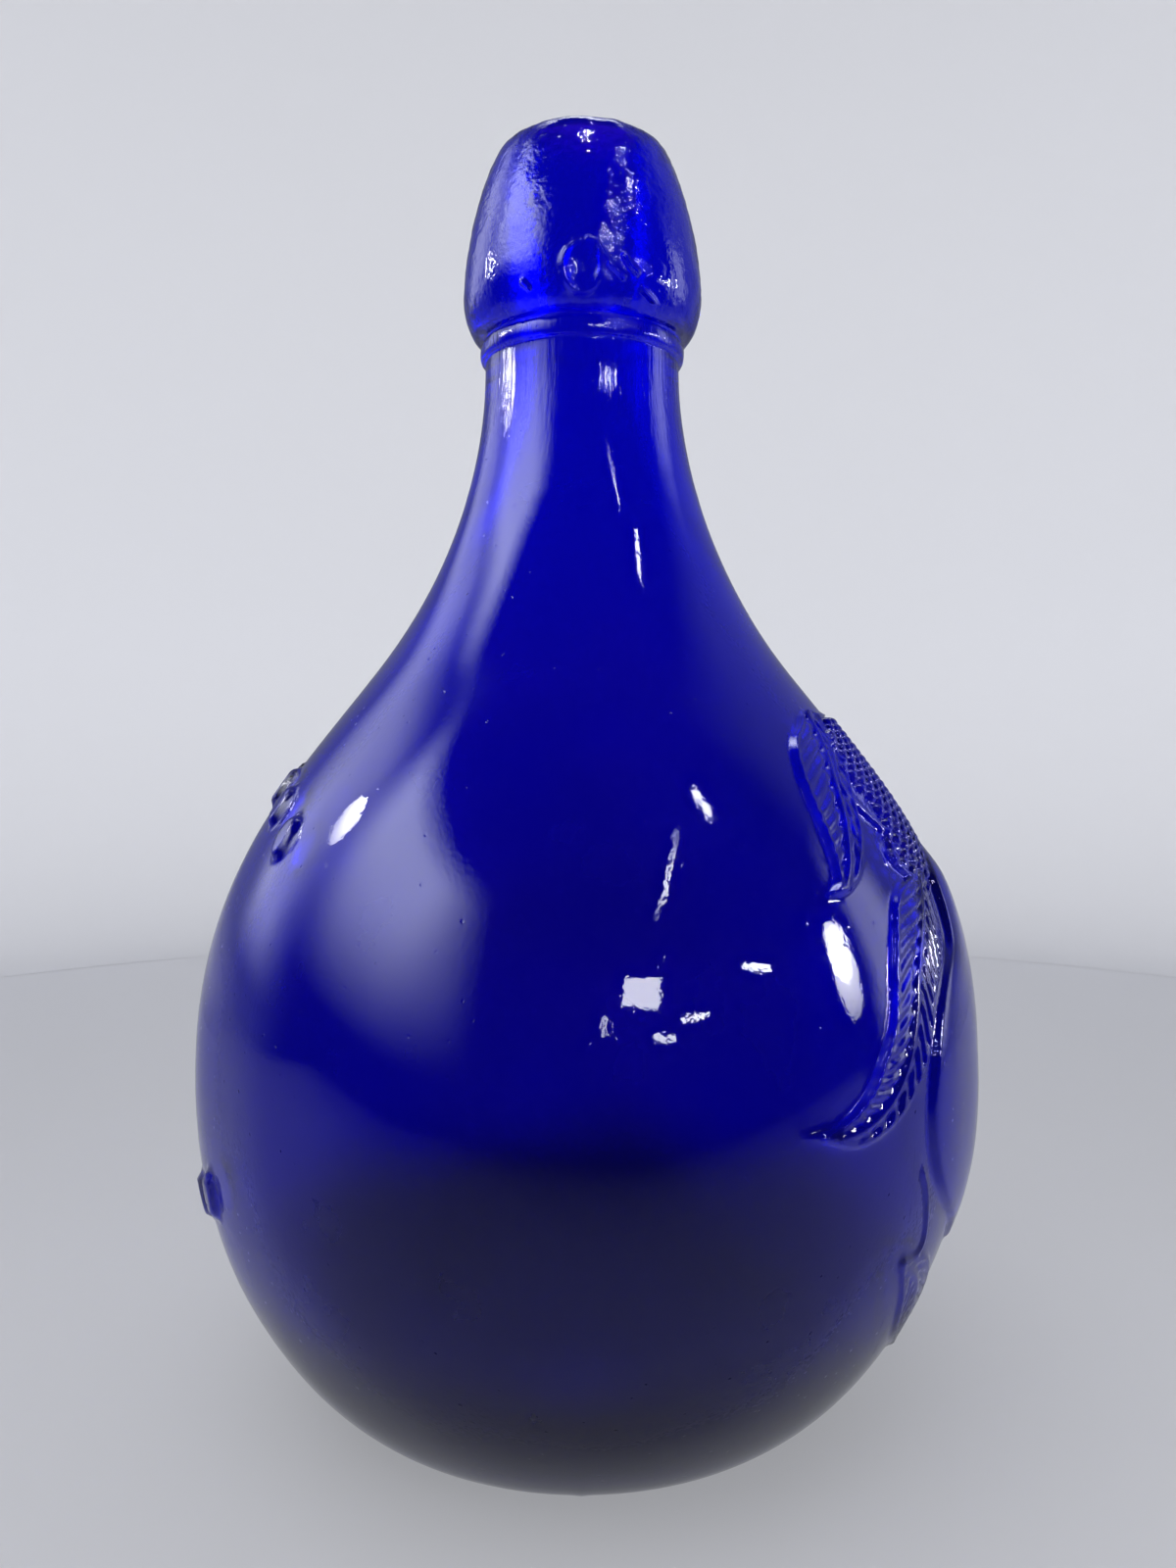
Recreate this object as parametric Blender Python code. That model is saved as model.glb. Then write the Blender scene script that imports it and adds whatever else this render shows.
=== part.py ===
# Round-bellied glass juice bottle with a long neck, a laid-on collar and moulded fruit and leaves.
# Units are metres. +Z is up, the origin is the middle of the base, +X is the side with the fruit.

import bpy
import bmesh
from math import cos, hypot, pi, radians, sin, sqrt
from mathutils import Matrix, Vector
from mathutils.geometry import interpolate_bezier

# Body, outside
BOTTLE_HEIGHT = 0.200
BODY_RADIUS = 0.0625
BELLY_HEIGHT = 0.052          # where the body is widest
RING_OUTER_RADIUS = 0.0372    # the ring that the bottle stands on
RING_INNER_RADIUS = 0.0315
PUSH_UP = 0.0065              # rise of the hollow under the base
HEEL_REACH = 0.0040           # handle of the curve that leaves the ring
BOWL_REACH = 0.034            # handle of the same curve below the belly
CROWN_REACH = 0.031           # handle above the belly
SHOULDER_RADIUS = 0.0343      # where the shoulder turns from round to hollow
SHOULDER_HEIGHT = 0.1152
SHOULDER_LEAN = radians(38)
SHOULDER_REACH = 0.021
NECK_RADIUS = 0.0160
NECK_STRAIGHT = 0.0017        # the short straight tube below the collar
NECK_REACH = 0.0145

# Body, inside
BODY_WALL = 0.0040
BASE_WALL = 0.0052
BORE_RADIUS = 0.0090
MOUTH_ROUNDING = 0.0016       # the rounded edge between the bore and the lip

# Collar, a second gather of glass laid round the end of the neck
COLLAR_LENGTH = 0.0338        # from the step in the neck that it sits on up to the lip
TUBE_RADIUS = 0.0130          # the neck inside the collar
GLASS_GAP = 0.0003
BAND_RADIUS = 0.0169          # the thin band under the collar
BAND_HEIGHT = 0.0030
BAND_GROOVE = 0.0004
COLLAR_RADIUS = 0.0197
BULGE_RISE = 0.0106           # from the seat up to the widest place of the collar
BULGE_REACH = 0.0082
UNDERSIDE_REACH = 0.0038
BROW_REACH = 0.0017           # how level the collar leaves the lip

# Bail dimples, one on each side of the collar
DIMPLE_RISE = 0.0090
DIMPLE_RADIUS = 0.0026
DIMPLE_DEPTH = 0.0016
DIMPLE_RIM = 0.0005

# Moulded relief
RELIEF_SINK = 0.0014          # how far each moulded form runs into the wall
EDGE_PROUD = 0.0003
LEAF_PROUD = 0.0013
VEIN_DEPTH = 0.0006
PEAR_PROUD = 0.0021
BERRY_PROUD = 0.0002
BEAD_PROUD = 0.0010
OVAL_PROUD = 0.0011
UPPER_LEAF_WIDTH = 0.0125
LONG_LEAF_WIDTH = 0.0125
LOW_LEAF_WIDTH = 0.0085
PEAR_WIDTH = 0.0430
BERRY_WIDTH = 0.0600
BERRY_HEIGHT = 0.0290         # measured along the slope of the shoulder
BERRY_PITCH = 0.0024
BERRY_CORNER_SHARE = 0.25     # 0 leaves the berry's pad square, 0.5 makes it an ellipse
OVAL_WIDTH = 0.0052
OVAL_LENGTH = 0.0078
OVAL_PITCH = 0.0112

# Places on the wall: a share of a quarter turn away from the fruit side, and of the bottle's height
UPPER_LEAF_SHARES = ((0.33, 0.538), (0.44, 0.500), (0.51, 0.462), (0.61, 0.420))
LONG_LEAF_SHARES = ((0.33, 0.432), (0.45, 0.362), (0.50, 0.310), (0.71, 0.277))
LOW_LEAF_SHARES = ((0.50, 0.176), (0.43, 0.150), (0.39, 0.118), (0.35, 0.078))
PEAR_SHARES = ((0.11, 0.440), (0.17, 0.362), (0.235, 0.280), (0.25, 0.168))
BERRY_SHARES = (0.0, 0.482)
UPPER_ARC_SHARES = (0.455, 0.035)  # height of the arc's ends, and how much its middle is higher
LOWER_ARC_SHARES = (0.200, -0.035)

# Half width of a form along its spine, as shares of its greatest half width
LEAF_OUTLINE_SHARES = (0.10, 0.62, 0.93, 1.00, 0.90, 0.66, 0.34, 0.04)
PEAR_OUTLINE_SHARES = (0.16, 0.40, 0.47, 0.55, 0.74, 0.93, 1.00, 0.90, 0.62, 0.18)
PEAR_CROWN_SHARES = (0.55, 1.00, 1.00, 0.85, 0.70, 0.62, 0.62, 0.60, 0.52, 0.40)

# Fineness of the facets, and how many of each thing there are
TURN_STEPS = 48
OUTSIDE_STEPS = (9, 9, 8)     # along the bowl, the crown and the neck
INSIDE_STEPS = (7, 7, 6)
LIP_STEPS = 3
BROW_STEPS = 9                # down the collar's taper
UNDERSIDE_STEPS = 5
DOME_RING_SHARES = (0, 0.35, 0.7, 1)
LEAF_VEINS = 8
LEAF_COLUMNS = 2              # on each side of the rib
PEAR_ROWS = 15
PEAR_COLUMNS = 4              # on each side of the middle
ARC_OVALS = 7
OVAL_SIDES = 10
OVAL_TOP_SHARE = 0.6
DIMPLE_SIDES = 20
MERGE_DISTANCE = GLASS_GAP / 30

SEAT_HEIGHT = BOTTLE_HEIGHT - COLLAR_LENGTH
NECK_FOOT_HEIGHT = SEAT_HEIGHT - NECK_STRAIGHT


for old in list(bpy.data.objects):
    bpy.data.objects.remove(old, do_unlink=True)


# Curves

def bezier(start, start_handle, end_handle, end, steps):
    ends = [Vector(p).to_3d() for p in (start, start_handle, end_handle, end)]
    return [Vector((p.x, p.y)) for p in interpolate_bezier(*ends, steps + 1)]


def blend(low, high, share):
    share = max(0.0, min(1.0, share))
    return low + (high - low) * share * share * (3 - 2 * share)


# A table's value at a place from 0 to 1, on a smooth curve through its entries
def read_table(table, place):
    gaps = len(table) - 1
    spot = place * gaps
    index = max(0, min(int(spot), gaps - 1))
    part = spot - index
    p1, p2 = table[index], table[index + 1]
    p0 = table[index - 1] if index else p1 * 2 - p2
    p3 = table[index + 2] if index + 2 <= gaps else p2 * 2 - p1
    rise = (p2 - p0) / 2
    fall = (p3 - p1) / 2
    a = 2 * part ** 3 - 3 * part ** 2 + 1
    b = part ** 3 - 2 * part ** 2 + part
    c = 3 * part ** 2 - 2 * part ** 3
    d = part ** 3 - part ** 2
    return p1 * a + rise * b + p2 * c + fall * d


# Outside of the body from the resting ring to the straight neck, as radius and height
def body_curves(bowl_steps, crown_steps, neck_steps):
    lean = Vector((-sin(SHOULDER_LEAN), cos(SHOULDER_LEAN)))
    shoulder = Vector((SHOULDER_RADIUS, SHOULDER_HEIGHT))
    bowl = bezier((RING_OUTER_RADIUS, 0), (RING_OUTER_RADIUS + HEEL_REACH, 0),
                  (BODY_RADIUS, BELLY_HEIGHT - BOWL_REACH), (BODY_RADIUS, BELLY_HEIGHT), bowl_steps)
    crown = bezier((BODY_RADIUS, BELLY_HEIGHT), (BODY_RADIUS, BELLY_HEIGHT + CROWN_REACH),
                   shoulder - lean * SHOULDER_REACH, shoulder, crown_steps)
    neck = bezier(shoulder, shoulder + lean * SHOULDER_REACH,
                  (NECK_RADIUS, NECK_FOOT_HEIGHT - NECK_REACH), (NECK_RADIUS, NECK_FOOT_HEIGHT), neck_steps)
    return bowl, crown, neck


# Moves each point of a curve inwards, square to the curve, by the wall's thickness there
def inner_curve(curve, wall_start, wall_end):
    moved = []
    last = len(curve) - 1
    for index, point in enumerate(curve):
        run = curve[min(index + 1, last)] - curve[max(index - 1, 0)]
        inwards = Vector((-run.y, run.x)).normalized()
        moved.append(point + inwards * blend(wall_start, wall_end, index / last))
    return moved


# The dome under the base
def push_up_height(radius):
    dome = (RING_INNER_RADIUS ** 2 + PUSH_UP ** 2) / (2 * PUSH_UP)
    return max(0.0, PUSH_UP - dome + sqrt(dome ** 2 - min(radius, RING_INNER_RADIUS) ** 2))


FINE_WALL = [p for curve in body_curves(30, 30, 30) for p in curve]


# Radius of the body, and how much it changes for each metre of height
def wall_at(height):
    for low, high in zip(FINE_WALL, FINE_WALL[1:]):
        if low.y <= height <= high.y and high.y > low.y:
            share = (height - low.y) / (high.y - low.y)
            return low.x + (high.x - low.x) * share, (high.x - low.x) / (high.y - low.y)
    return NECK_RADIUS, 0.0


# A point on the wall at an angle from the fruit side, standing proud of the glass
def on_wall(angle, height, proud):
    radius, slope = wall_at(height)
    out = Vector((1, -slope)).normalized() * proud
    reach = radius + out.x
    return Vector((reach * cos(angle), reach * sin(angle), height + out.y))


# Turned shapes

def turn(name, outline, closed):
    shape = bmesh.new()
    verts = [shape.verts.new((p[0], 0, p[1])) for p in outline]
    pairs = list(zip(verts, verts[1:])) + ([(verts[-1], verts[0])] if closed else [])
    edges = [shape.edges.new(pair) for pair in pairs]
    bmesh.ops.spin(shape, geom=verts + edges, cent=(0, 0, 0), axis=(0, 0, 1),
                   angle=2 * pi, steps=TURN_STEPS, use_merge=True)
    bmesh.ops.remove_doubles(shape, verts=shape.verts, dist=MERGE_DISTANCE)
    bmesh.ops.recalc_face_normals(shape, faces=shape.faces)
    return finish(name, shape)


def finish(name, shape):
    mesh = bpy.data.meshes.new(name)
    shape.to_mesh(mesh)
    shape.free()
    thing = bpy.data.objects.new(name, mesh)
    bpy.context.scene.collection.objects.link(thing)
    return thing


def smooth(thing, degrees):
    thing.data.shade_smooth()
    thing.data.set_sharp_from_angle(angle=radians(degrees))


def body_outline():
    bowl, crown, neck = body_curves(*OUTSIDE_STEPS)
    dome_radii = [RING_INNER_RADIUS * share for share in DOME_RING_SHARES]
    lip = []
    for step in range(LIP_STEPS + 1):
        around = step / LIP_STEPS * pi / 2
        lip.append((BORE_RADIUS + MOUTH_ROUNDING * (1 - sin(around)),
                    BOTTLE_HEIGHT - MOUTH_ROUNDING * (1 - cos(around))))
    outside = [(radius, push_up_height(radius)) for radius in dome_radii]
    outside += bowl + crown[1:] + neck[1:]
    outside += [(NECK_RADIUS, SEAT_HEIGHT), (TUBE_RADIUS, SEAT_HEIGHT), (TUBE_RADIUS, BOTTLE_HEIGHT)]
    bowl, crown, neck = body_curves(*INSIDE_STEPS)
    inside = list(reversed(inner_curve(neck, BODY_WALL, NECK_RADIUS - BORE_RADIUS)))
    inside += list(reversed(inner_curve(crown, BODY_WALL, BODY_WALL)))[1:]
    inside += list(reversed(inner_curve(bowl, BASE_WALL, BODY_WALL)))[1:-1]
    inside += [(radius, push_up_height(radius) + BASE_WALL) for radius in reversed(dome_radii)]
    return outside + lip + inside


def collar_outline():
    inner = TUBE_RADIUS + GLASS_GAP
    foot = SEAT_HEIGHT + GLASS_GAP
    bulge = SEAT_HEIGHT + BULGE_RISE
    band_top = foot + BAND_HEIGHT
    groove = BAND_RADIUS - BAND_GROOVE
    brow = bezier((inner, BOTTLE_HEIGHT), (inner + BROW_REACH, BOTTLE_HEIGHT),
                  (COLLAR_RADIUS, bulge + BULGE_REACH), (COLLAR_RADIUS, bulge), BROW_STEPS)
    under = bezier((COLLAR_RADIUS, bulge), (COLLAR_RADIUS, bulge - UNDERSIDE_REACH),
                   (groove + UNDERSIDE_REACH / 2, band_top + BAND_GROOVE), (groove, band_top + BAND_GROOVE),
                   UNDERSIDE_STEPS)
    band = [(BAND_RADIUS, band_top - BAND_GROOVE), (BAND_RADIUS, foot + BAND_GROOVE),
            (groove, foot), (inner, foot)]
    return brow + under[1:] + band


# Moulded forms: each is a patch laid on the wall, closed by a copy of itself sunk into the glass

def new_patch():
    patch = bmesh.new()
    return patch, patch.verts.layers.float.new("angle"), patch.verts.layers.float.new("height")


def patch_vert(kit, angle, height, proud):
    patch, angle_layer, height_layer = kit
    vert = patch.verts.new(on_wall(angle, height, proud))
    vert[angle_layer] = angle
    vert[height_layer] = height
    return vert


def fill_grid(patch, grid):
    for low, high in zip(grid, grid[1:]):
        for index in range(len(low) - 1):
            patch.faces.new((low[index], low[index + 1], high[index + 1], high[index]))


def close_patch(kit):
    patch, angle_layer, height_layer = kit
    top = list(patch.faces)
    made = bmesh.ops.extrude_face_region(patch, geom=top, use_keep_orig=True)
    for vert in made["geom"]:
        if isinstance(vert, bmesh.types.BMVert):
            vert.co = on_wall(vert[angle_layer], vert[height_layer], -RELIEF_SINK)
    bmesh.ops.recalc_face_normals(patch, faces=patch.faces)
    return patch, top


# Where a point lies that is a distance to the side of a spine, square to it along the glass
def beside(places, share, aside, side):
    nudge = 0.01
    spine = [Vector(place) for place in places]
    here = read_table(spine, share)
    ahead = read_table(spine, share + nudge)
    behind = read_table(spine, share - nudge)
    angle = here.x * pi / 2
    height = here.y * BOTTLE_HEIGHT
    radius, slope = wall_at(height)
    stretch = hypot(1, slope)
    run = Vector(((ahead.x - behind.x) * pi / 2 * radius, (ahead.y - behind.y) * BOTTLE_HEIGHT * stretch))
    run.normalize()
    return side * (angle - run.y * aside / radius), height + run.x * aside / stretch


# A leaf has a raised rib, side veins that lean towards the tip, and a low rounded edge
def leaf(name, places, width, side):
    kit = new_patch()
    rows = 2 * LEAF_VEINS
    grid = []
    for row in range(rows + 1):
        line = []
        for column in range(-LEAF_COLUMNS, LEAF_COLUMNS + 1):
            across = column / LEAF_COLUMNS
            share = row / rows
            share += abs(across) / rows * sin(pi * share)
            half = width / 2 * read_table(LEAF_OUTLINE_SHARES, share)
            angle, height = beside(places, share, half * across, side)
            proud = LEAF_PROUD - (VEIN_DEPTH if row % 2 and column else 0)
            line.append(patch_vert(kit, angle, height, EDGE_PROUD if abs(across) == 1 else proud))
        grid.append(line)
    fill_grid(kit[0], grid)
    return finish(name, close_patch(kit)[0])


# A pear lies stalk end up, its crown rounded over from edge to edge
def pear(name, places, side):
    kit = new_patch()
    grid = []
    for row in range(PEAR_ROWS + 1):
        share = row / PEAR_ROWS
        half = PEAR_WIDTH / 2 * read_table(PEAR_OUTLINE_SHARES, share)
        top = PEAR_PROUD * read_table(PEAR_CROWN_SHARES, share) * (0 < row < PEAR_ROWS)
        line = []
        for column in range(-PEAR_COLUMNS, PEAR_COLUMNS + 1):
            across = sin(column / PEAR_COLUMNS * pi / 2)
            angle, height = beside(places, share, half * across, side)
            line.append(patch_vert(kit, angle, height, EDGE_PROUD + top * sqrt(max(0.0, 1 - across ** 2))))
        grid.append(line)
    fill_grid(kit[0], grid)
    return finish(name, close_patch(kit)[0])


# The berry is a rounded pad whose cells each rise to a bead
def berry(name):
    kit = new_patch()
    columns = round(BERRY_WIDTH / BERRY_PITCH)
    rows = round(BERRY_HEIGHT / BERRY_PITCH)
    middle = BERRY_SHARES[1] * BOTTLE_HEIGHT
    radius, slope = wall_at(middle)
    stretch = hypot(1, slope)
    grid = []
    for row in range(rows + 1):
        line = []
        for column in range(columns + 1):
            x = 2 * column / columns - 1
            y = 2 * row / rows - 1
            across = x * sqrt(1 - BERRY_CORNER_SHARE * y * y)
            up = y * sqrt(1 - BERRY_CORNER_SHARE * x * x)
            angle = across * BERRY_WIDTH / 2 / radius
            height = middle + up * BERRY_HEIGHT / 2 / stretch
            line.append(patch_vert(kit, angle, height, BERRY_PROUD))
        grid.append(line)
    fill_grid(kit[0], grid)
    patch, cells = close_patch(kit)
    bmesh.ops.poke(patch, faces=cells, offset=BEAD_PROUD)
    return finish(name, patch)


# A plain raised oval on the side away from the fruit
def oval(name, angle, height):
    kit = new_patch()
    radius, slope = wall_at(height)
    stretch = hypot(1, slope)
    rings = []
    for size, proud in ((1, EDGE_PROUD), (OVAL_TOP_SHARE, OVAL_PROUD)):
        ring = []
        for step in range(OVAL_SIDES):
            around = step / OVAL_SIDES * 2 * pi
            ring.append(patch_vert(kit, angle + size * cos(around) * OVAL_WIDTH / 2 / radius,
                                   height + size * sin(around) * OVAL_LENGTH / 2 / stretch, proud))
        rings.append(ring)
    outer, inner = rings
    for index in range(OVAL_SIDES):
        after = (index + 1) % OVAL_SIDES
        kit[0].faces.new((outer[index], outer[after], inner[after], inner[index]))
    kit[0].faces.new(inner)
    return finish(name, close_patch(kit)[0])


def arc_of_ovals(name, shares):
    ends, lift = shares
    made = []
    for index in range(ARC_OVALS):
        place = 2 * index / (ARC_OVALS - 1) - 1
        height = (ends + lift * (1 - place ** 2)) * BOTTLE_HEIGHT
        radius = wall_at(height)[0]
        offset = (index - (ARC_OVALS - 1) / 2) * OVAL_PITCH / radius
        made.append(oval(f"{name}_{index}", pi + offset, height))
    return made


# Joining and cutting

def hide_stock(things, name):
    group = bpy.data.collections.new(name)
    bpy.context.scene.collection.children.link(group)
    for thing in things:
        bpy.context.scene.collection.objects.unlink(thing)
        group.objects.link(thing)
        thing.hide_render = True
        thing.display_type = "WIRE"
    return group


def combine(thing, group, how):
    step = thing.modifiers.new(group.name, "BOOLEAN")
    step.operation = how
    step.operand_type = "COLLECTION"
    step.collection = group
    step.solver = "EXACT"


# A dimple's rim and the round recess in it, facing along the Y axis
def dimple_rims_and_recesses():
    rims, recesses = [], []
    height = SEAT_HEIGHT + DIMPLE_RISE
    for side in (-1, 1):
        sideways = Matrix.Rotation(pi / 2, 4, "X")
        face = Matrix.Translation((0, side * (COLLAR_RADIUS - DIMPLE_RIM), height)) @ sideways
        rim = bmesh.new()
        bmesh.ops.create_cone(rim, cap_ends=True, segments=DIMPLE_SIDES, radius1=DIMPLE_RADIUS + DIMPLE_RIM,
                              radius2=DIMPLE_RADIUS + DIMPLE_RIM, depth=4 * DIMPLE_RIM, matrix=face)
        edges = [edge for edge in rim.edges if len(edge.link_faces) == 2 and edge.is_convex
                 and any(len(f.verts) > 4 for f in edge.link_faces)]
        bmesh.ops.bevel(rim, geom=edges, offset=DIMPLE_RIM, segments=2, profile=0.5, affect="EDGES")
        rims.append(finish(f"dimple_rim_{len(rims)}", rim))
        recess = bmesh.new()
        ball = (DIMPLE_RADIUS ** 2 + DIMPLE_DEPTH ** 2) / (2 * DIMPLE_DEPTH)
        centre = COLLAR_RADIUS + DIMPLE_RIM + ball - DIMPLE_DEPTH
        bmesh.ops.create_uvsphere(recess, u_segments=DIMPLE_SIDES, v_segments=DIMPLE_SIDES // 2, radius=ball,
                                  matrix=Matrix.Translation((0, side * centre, height)) @ sideways)
        recesses.append(finish(f"dimple_recess_{len(recesses)}", recess))
    return rims, recesses


def cobalt_glass(name, colour, roughness):
    glass = bpy.data.materials.new(name)
    glass.use_nodes = True
    shader = glass.node_tree.nodes["Principled BSDF"]
    shader.inputs["Base Color"].default_value = (*colour, 1)
    shader.inputs["Roughness"].default_value = roughness
    shader.inputs["Metallic"].default_value = 0
    shader.inputs["IOR"].default_value = 1.52
    shader.inputs["Transmission Weight"].default_value = 1
    glass.diffuse_color = (*colour, 1)
    return glass


def relief_forms():
    forms = [berry("berry")]
    for side, hand in ((-1, "near"), (1, "far")):
        forms.append(pear(f"pear_{hand}", PEAR_SHARES, side))
        forms.append(leaf(f"upper_leaf_{hand}", UPPER_LEAF_SHARES, UPPER_LEAF_WIDTH, side))
        forms.append(leaf(f"long_leaf_{hand}", LONG_LEAF_SHARES, LONG_LEAF_WIDTH, side))
        forms.append(leaf(f"low_leaf_{hand}", LOW_LEAF_SHARES, LOW_LEAF_WIDTH, side))
    forms += arc_of_ovals("upper_oval", UPPER_ARC_SHARES)
    forms += arc_of_ovals("lower_oval", LOWER_ARC_SHARES)
    return forms


body = turn("bottle_body", body_outline(), closed=False)
combine(body, hide_stock(relief_forms(), "moulded_relief"), "UNION")
body.data.materials.append(cobalt_glass("cobalt_glass_body", (0.004, 0.004, 0.30), 0.03))
smooth(body, 35)

collar = turn("lip_collar", collar_outline(), closed=True)
dimple_rims, dimple_recesses = dimple_rims_and_recesses()
combine(collar, hide_stock(dimple_rims, "dimple_rims"), "UNION")
combine(collar, hide_stock(dimple_recesses, "dimple_recesses"), "DIFFERENCE")
collar.data.materials.append(cobalt_glass("cobalt_glass_collar", (0.004, 0.004, 0.24), 0.06))
smooth(collar, 35)
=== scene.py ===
# Cobalt-blue glass juice bottle, blown in a mould, with its collar laid on hot and tooled.
# Metres, +Z up. The moulded fruit faces +X, the camera stands on the -Y side.

import math

import bmesh
import bpy
import numpy as np
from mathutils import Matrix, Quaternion, Vector
from mathutils.geometry import interpolate_bezier


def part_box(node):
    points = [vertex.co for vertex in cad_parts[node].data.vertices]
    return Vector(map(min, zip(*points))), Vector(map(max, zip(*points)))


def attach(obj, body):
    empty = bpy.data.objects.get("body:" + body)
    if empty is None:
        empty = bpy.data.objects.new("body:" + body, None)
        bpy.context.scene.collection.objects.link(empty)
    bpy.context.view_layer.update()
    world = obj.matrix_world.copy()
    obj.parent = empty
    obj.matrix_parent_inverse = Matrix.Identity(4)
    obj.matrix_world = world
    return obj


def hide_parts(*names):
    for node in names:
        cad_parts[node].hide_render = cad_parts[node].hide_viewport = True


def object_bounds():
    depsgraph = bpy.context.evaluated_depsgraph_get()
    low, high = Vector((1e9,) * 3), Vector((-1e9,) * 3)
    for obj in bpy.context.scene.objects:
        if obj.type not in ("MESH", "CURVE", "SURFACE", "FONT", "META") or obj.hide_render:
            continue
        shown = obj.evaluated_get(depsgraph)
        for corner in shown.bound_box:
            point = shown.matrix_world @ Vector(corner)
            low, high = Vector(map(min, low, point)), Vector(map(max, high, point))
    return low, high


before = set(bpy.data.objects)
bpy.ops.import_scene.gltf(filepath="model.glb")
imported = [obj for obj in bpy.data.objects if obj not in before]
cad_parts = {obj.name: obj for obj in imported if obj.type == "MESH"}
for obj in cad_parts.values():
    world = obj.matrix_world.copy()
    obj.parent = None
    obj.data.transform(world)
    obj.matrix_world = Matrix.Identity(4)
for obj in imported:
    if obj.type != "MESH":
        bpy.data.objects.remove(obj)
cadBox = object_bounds()
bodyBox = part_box("bottle_body")
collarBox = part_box("lip_collar")
print("frame loaded")


# The blown body, as radius and height
body = {
    "height": cadBox[1].z,
    "radius": bodyBox[1].y,
    "bellyHeight": 0.052,
    "ringOuter": 0.0372,
    "ringInner": 0.0315,
    "pushUp": 0.0065,
    "heelReach": 0.0040,
    "bowlReach": 0.034,
    "crownReach": 0.031,
    "shoulderRadius": 0.0343,
    "shoulderHeight": 0.1152,
    "shoulderLean": math.radians(38),
    "shoulderReach": 0.021,
    "neckRadius": 0.0160,
    "neckStraight": 0.0017,
    "neckReach": 0.0145,
    "wall": 0.0040,
    "baseWall": 0.0052,
    "boreRadius": 0.0090,
    "mouthRound": 0.0016,
}

# The collar and the thin band under it. The CAD collar stands a seatGap above the body, and here it is fused
# to it.
seatGap = 0.0003
collar = {
    "radius": collarBox[1].x,
    "seat": collarBox[0].z - seatGap,
    "bandProud": 0.0009,
    "bandHeight": 0.0032,
    "bandSquareness": 0.6,
    "grooveRise": 0.0002,
    "grooveRadius": 0.0164,
    "bulgeRise": 0.0106,
    "bulgeReach": 0.0082,
    "undersideReach": 0.0038,
    "lipRadius": 0.0133,
    "browReach": 0.0017,
}

# How fine the glass is cut before the moulded forms are raised
fineness = {
    "turnSteps": 144,
    "bandSteps": 10,
    "mouthSteps": 6,
    "bodyStep": 0.0024,
    "neckStep": 0.0016,
    "collarStep": 0.0008,
    "insideStep": 0.0030,
    "insideRounds": 3,
    "mergeGap": 0.00001,
    "levelMargins": (0.0032, 0.0015, 0.0006),
    "readStep": 0.0004,
}


def bezierRun(start, startHandle, endHandle, end, step):
    ends = [Vector(place).to_3d() for place in (start, startHandle, endHandle, end)]
    rough = interpolate_bezier(*ends, 24)
    length = sum((b - a).length for a, b in zip(rough, rough[1:]))
    return [Vector((p.x, p.y)) for p in interpolate_bezier(*ends, max(2, round(length / step)) + 1)]


def straightRun(start, end, step):
    start, end = Vector(start), Vector(end)
    steps = max(1, round((end - start).length / step))
    return [start.lerp(end, index / steps) for index in range(steps + 1)]


def bodyRuns(step, neckStep):
    lean = Vector((-math.sin(body["shoulderLean"]), math.cos(body["shoulderLean"]))) * body["shoulderReach"]
    ring = Vector((body["ringOuter"], 0))
    belly = Vector((body["radius"], body["bellyHeight"]))
    shoulder = Vector((body["shoulderRadius"], body["shoulderHeight"]))
    foot = Vector((body["neckRadius"], collar["seat"] - body["neckStraight"]))
    heel = ring + Vector((body["heelReach"], 0))
    bowl = bezierRun(ring, heel, belly - Vector((0, body["bowlReach"])), belly, step)
    crown = bezierRun(belly, belly + Vector((0, body["crownReach"])), shoulder - lean, shoulder, step)
    neck = bezierRun(shoulder, shoulder + lean, foot - Vector((0, body["neckReach"])), foot, neckStep)
    return bowl, crown, neck


def pushUpHeight(radius):
    dome = (body["ringInner"] ** 2 + body["pushUp"] ** 2) / (2 * body["pushUp"])
    return max(0.0, body["pushUp"] - dome + math.sqrt(dome ** 2 - min(radius, body["ringInner"]) ** 2))


def domeRun(lift, step):
    steps = round(body["ringInner"] / step)
    radii = [body["ringInner"] * index / steps for index in range(steps + 1)]
    return [Vector((radius, pushUpHeight(radius) + lift)) for radius in radii]


# The band is a rounded bead, the collar hangs over it and leans in to the lip
def collarRuns(step):
    seat = collar["seat"]
    band = []
    for index in range(fineness["bandSteps"] + 1):
        around = math.pi * index / fineness["bandSteps"]
        proud = collar["bandProud"] * math.sin(around) ** collar["bandSquareness"]
        band.append(Vector((body["neckRadius"] + proud,
                            seat + collar["bandHeight"] / 2 * (1 - math.cos(around)))))
    groove = Vector((collar["grooveRadius"], seat + collar["bandHeight"] + collar["grooveRise"]))
    bulge = Vector((collar["radius"], seat + collar["bulgeRise"]))
    under = bezierRun(groove, groove + Vector((collar["undersideReach"] / 2, 0)),
                      bulge - Vector((0, collar["undersideReach"])), bulge, step)
    lip = Vector((collar["lipRadius"], body["height"]))
    brow = bezierRun(bulge, bulge + Vector((0, collar["bulgeReach"])),
                     lip + Vector((collar["browReach"], 0)), lip, step)
    return band, under, brow


# The same curve moved inwards by the wall's thickness
def insideRun(curve, wallStart, wallEnd):
    moved = []
    last = len(curve) - 1
    for index, place in enumerate(curve):
        run = curve[min(index + 1, last)] - curve[max(index - 1, 0)]
        share = index / last
        wall = wallStart + (wallEnd - wallStart) * share * share * (3 - 2 * share)
        moved.append(place + Vector((-run.y, run.x)).normalized() * wall)
    return moved


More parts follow.
